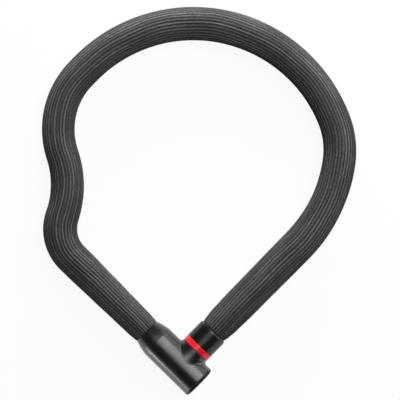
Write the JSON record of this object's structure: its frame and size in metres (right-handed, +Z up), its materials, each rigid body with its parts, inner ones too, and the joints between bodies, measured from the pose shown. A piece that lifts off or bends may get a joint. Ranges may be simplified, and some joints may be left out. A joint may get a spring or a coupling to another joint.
{
  "type": "chain lock",
  "caption": "Key-operated chain lock shut in a loop: square-link chain in a padded ribbed textile sleeve, barrel-shaped key head with a neck and side socket, plug end with a red ring.",
  "frame": {"origin": "middle of the lock's outline as it lies shut, on the surface that it lies on", "axes": "+X along the lock head's barrel towards the key end, +Y along the plug as it is pulled out of the socket, +Z up, square to the plane of the loop"},
  "size_m": [0.2992, 0.3096, 0.033],
  "materials": {
    "cover_black": "satin black moulded plastic",
    "ring_red": "bright red, smooth",
    "sleeve_knit": "charcoal ribbed knit, ribs along the loop",
    "padding_rubber": "matte foam rubber",
    "chain_steel": "hardened and zinc plated",
    "lock_steel": "hardened, ground",
    "cylinder_nickel": "nickel plated, satin",
    "wafer_brass": "stamped"
  },
  "bodies": {
    "lock_head": {"housing_cover": "cover_black", "end_cap": "cover_black", "lock_barrel": "lock_steel", "entry_bush": "lock_steel", "cylinder_shell": "cylinder_nickel", "cylinder_dowel": "lock_steel", "chain_anchor_pin": "lock_steel", "neck_clamp_ring": "lock_steel", "sleeve_01": "sleeve_knit", "padding_hose_01": "padding_rubber", "chain_links_01": "chain_steel"},
    "key_rotor": {"key_plug": "cylinder_nickel", "wafers": "wafer_brass", "plug_clip": "lock_steel"},
    "latch": {"latch_plate": "lock_steel"},
    "span_02": {"sleeve_02": "sleeve_knit", "padding_hose_02": "padding_rubber", "chain_links_02": "chain_steel"},
    "span_03": {"sleeve_03": "sleeve_knit", "padding_hose_03": "padding_rubber", "chain_links_03": "chain_steel"},
    "span_04": {"sleeve_04": "sleeve_knit", "padding_hose_04": "padding_rubber", "chain_links_04": "chain_steel"},
    "span_05": {"sleeve_05": "sleeve_knit", "padding_hose_05": "padding_rubber", "chain_links_05": "chain_steel"},
    "span_06": {"sleeve_06": "sleeve_knit", "padding_hose_06": "padding_rubber", "chain_links_06": "chain_steel"},
    "span_07": {"sleeve_07": "sleeve_knit", "padding_hose_07": "padding_rubber", "chain_links_07": "chain_steel"},
    "span_08": {"sleeve_08": "sleeve_knit", "padding_hose_08": "padding_rubber", "chain_links_08": "chain_steel"},
    "span_09": {"sleeve_09": "sleeve_knit", "padding_hose_09": "padding_rubber", "chain_links_09": "chain_steel"},
    "plug_end": {"locking_stud": "lock_steel", "red_ring": "ring_red", "end_collar": "cover_black", "end_link_pin": "lock_steel", "collar_clamp_ring": "lock_steel", "sleeve_10": "sleeve_knit", "padding_hose_10": "padding_rubber", "chain_links_10": "chain_steel"}
  },
  "joints": [
    {"name": "key_turn", "type": "hinge", "parent": "lock_head", "child": "key_rotor", "pos_m": [0.13454, -0.14233, 0.0165], "axis": [-1, 0, 0], "range_deg": [0, 90]},
    {"name": "latch_slide", "type": "slide", "parent": "lock_head", "child": "latch", "axis": [0, 0, 1], "range_m": [0, 0.00424]},
    {"name": "loop_flex_1", "type": "hinge", "parent": "lock_head", "child": "span_02", "pos_m": [-0.00436, -0.13833, 0.0165], "axis": [0, 0, 1], "range_deg": [0, 10.97]},
    {"name": "loop_flex_2", "type": "hinge", "parent": "span_02", "child": "span_03", "pos_m": [-0.06856, -0.09393, 0.0165], "axis": [0, 0, 1], "range_deg": [0, 13.98]},
    {"name": "loop_flex_3", "type": "hinge", "parent": "span_03", "child": "span_04", "pos_m": [-0.12873, -0.03663, 0.0165], "axis": [0, 0, 1], "range_deg": [0, 16]},
    {"name": "loop_flex_4", "type": "hinge", "parent": "span_04", "child": "span_05", "pos_m": [-0.1254, 0.04637, 0.0165], "axis": [0, 0, 1], "range_deg": [0, 11.62]},
    {"name": "loop_flex_5", "type": "hinge", "parent": "span_05", "child": "span_06", "pos_m": [-0.07483, 0.11277, 0.0165], "axis": [0, 0, 1], "range_deg": [0, 4.22]},
    {"name": "loop_flex_6", "type": "hinge", "parent": "span_06", "child": "span_07", "pos_m": [0.00432, 0.13928, 0.0165], "axis": [0, 0, 1], "range_deg": [-3.54, 0]},
    {"name": "loop_flex_7", "type": "hinge", "parent": "span_07", "child": "span_08", "pos_m": [0.08401, 0.11566, 0.0165], "axis": [0, 0, 1], "range_deg": [-8.83, 0]},
    {"name": "loop_flex_8", "type": "hinge", "parent": "span_08", "child": "span_09", "pos_m": [0.12258, 0.04202, 0.0165], "axis": [0, 0, 1], "range_deg": [-8.3, 0]},
    {"name": "loop_flex_9", "type": "hinge", "parent": "span_09", "child": "plug_end", "pos_m": [0.12454, -0.04259, 0.0165], "axis": [0, 0, 1], "range_deg": [-4.25, 0]}
  ],
  "couplings": [
    {"joint": "key_turn", "follows": "latch_slide", "rad_per_m": 370.24},
    {"joint": "loop_flex_1", "follows": "loop_flex_3", "ratio": 0.6853},
    {"joint": "loop_flex_2", "follows": "loop_flex_3", "ratio": 0.8729},
    {"joint": "loop_flex_4", "follows": "loop_flex_3", "ratio": 0.7255},
    {"joint": "loop_flex_5", "follows": "loop_flex_3", "ratio": 0.263},
    {"joint": "loop_flex_6", "follows": "loop_flex_3", "ratio": -0.2205},
    {"joint": "loop_flex_7", "follows": "loop_flex_3", "ratio": -0.551},
    {"joint": "loop_flex_8", "follows": "loop_flex_3", "ratio": -0.518},
    {"joint": "loop_flex_9", "follows": "loop_flex_3", "ratio": -0.2652}
  ]
}
